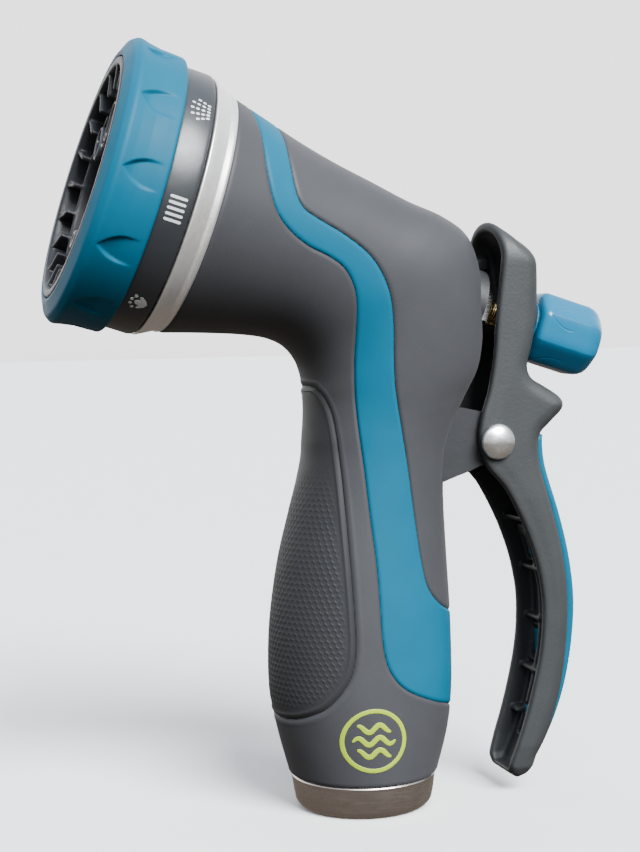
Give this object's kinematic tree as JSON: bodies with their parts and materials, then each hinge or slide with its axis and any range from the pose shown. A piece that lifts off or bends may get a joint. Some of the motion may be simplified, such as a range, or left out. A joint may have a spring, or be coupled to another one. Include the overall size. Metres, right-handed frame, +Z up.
{
  "type": "hose spray nozzle",
  "caption": "Rear-trigger garden hose spray nozzle: threaded inlet in an overmoulded pistol grip, hinged squeeze lever, flow knob and a turning spray-pattern dial.",
  "frame": {"origin": "centre of the hose inlet's mouth, on the handle's bottom face", "axes": "+Z up the handle along the hose inlet's axis, the barrel and dial point towards -X and 18 degrees upwards, +Y along the trigger's pivot pin"},
  "size_m": [0.1416, 0.0692, 0.1868],
  "materials": {
    "core_plastic": "dark charcoal glass-filled nylon, fine moulded texture",
    "soft_grip": "charcoal soft-touch overmould, matte",
    "soft_pad": "charcoal soft-touch overmould with small hexagon texture",
    "soft_blue": "teal blue soft-touch overmould, matte",
    "silver_ring": "satin silver paint",
    "collar_metal": "satin grey metal",
    "brass": "machined brass",
    "nickel": "nickel-plated nut",
    "seal_rubber": "black rubber",
    "spring_steel": "stainless steel",
    "rivet_steel": "domed rivet, semi-polished",
    "dial_plastic": "dark moulded plastic",
    "selector_plastic": "dark satin plastic with white pictograms",
    "tip_plastic": "dark grey moulded acetal",
    "lever_plastic": "grey glass-filled nylon, fine moulded texture",
    "knob_blue": "glossy blue plastic",
    "washer_plastic": "blue acetal washer"
  },
  "bodies": {
    "body": {"body_core": "core_plastic", "grip_skin": "soft_grip", "stripe_inlay": "soft_blue", "palm_pad": "soft_pad", "trim_ring": "silver_ring", "base_collar": "collar_metal", "hose_insert": "brass", "hose_washer": "seal_rubber", "valve_seat": "brass", "gland_plug": "core_plastic", "gland_nut": "nickel", "stem_seal": "seal_rubber", "return_spring": "spring_steel", "outlet_seal": "seal_rubber", "outlet_spring": "spring_steel", "detent_spring": "spring_steel", "pivot_pin": "rivet_steel", "dial_screw": "spring_steel", "screw_washer": "spring_steel"},
    "dial": {"spray_manifold": "dial_plastic", "selector_ring": "selector_plastic", "dial_bezel": "soft_blue", "face_plate": "dial_plastic", "jet_tip": "tip_plastic", "flat_tip": "tip_plastic", "cone_tip": "tip_plastic", "mist_tip": "tip_plastic", "hub_cap": "dial_plastic", "fan_tip": "tip_plastic"},
    "trigger": {"trigger_lever": "lever_plastic", "trigger_insert": "soft_blue"},
    "valve": {"valve_stem": "brass", "valve_plunger": "brass", "plunger_seal": "seal_rubber", "plunger_nut": "brass"},
    "washer": {"knob_washer": "washer_plastic"},
    "knob": {"flow_knob": "knob_blue", "knob_insert": "brass"},
    "detent": {"detent_ball": "spring_steel"}
  },
  "joints": [
    {"name": "dial_turn", "type": "hinge", "parent": "body", "child": "dial", "pos_m": [0, 0, 0.133], "axis": [-0.9511, 0, 0.309], "continuous": true},
    {"name": "trigger_squeeze", "type": "hinge", "parent": "body", "child": "trigger", "pos_m": [0.0328, 0, 0.0895], "axis": [0, 1, 0], "range_deg": [0, 12], "stiffness_Nm_per_rad": 1.5, "springref_deg": -5.73},
    {"name": "valve_slide", "type": "slide", "parent": "body", "child": "valve", "axis": [0.9511, 0, -0.309], "range_m": [0, 0.0068], "deforming": ["return_spring"]},
    {"name": "knob_advance", "type": "slide", "parent": "valve", "child": "washer", "axis": [0.9511, 0, -0.309], "range_m": [0, 0.0038]},
    {"name": "knob_turn", "type": "hinge", "parent": "washer", "child": "knob", "pos_m": [0.0475, 0, 0.11757], "axis": [0.9511, 0, -0.309], "range_deg": [0, 1080]},
    {"name": "detent_click", "type": "slide", "parent": "body", "child": "detent", "axis": [-0.9511, 0, 0.309], "range_m": [-0.0006, 0], "stiffness_N_per_m": 1500, "springref_m": 0.0005, "deforming": ["detent_spring"]}
  ],
  "couplings": [
    {"joint": "valve_slide", "follows": "trigger_squeeze", "m_per_rad": 0.0313},
    {"joint": "knob_advance", "follows": "knob_turn", "m_per_rad": 0.00019894}
  ]
}
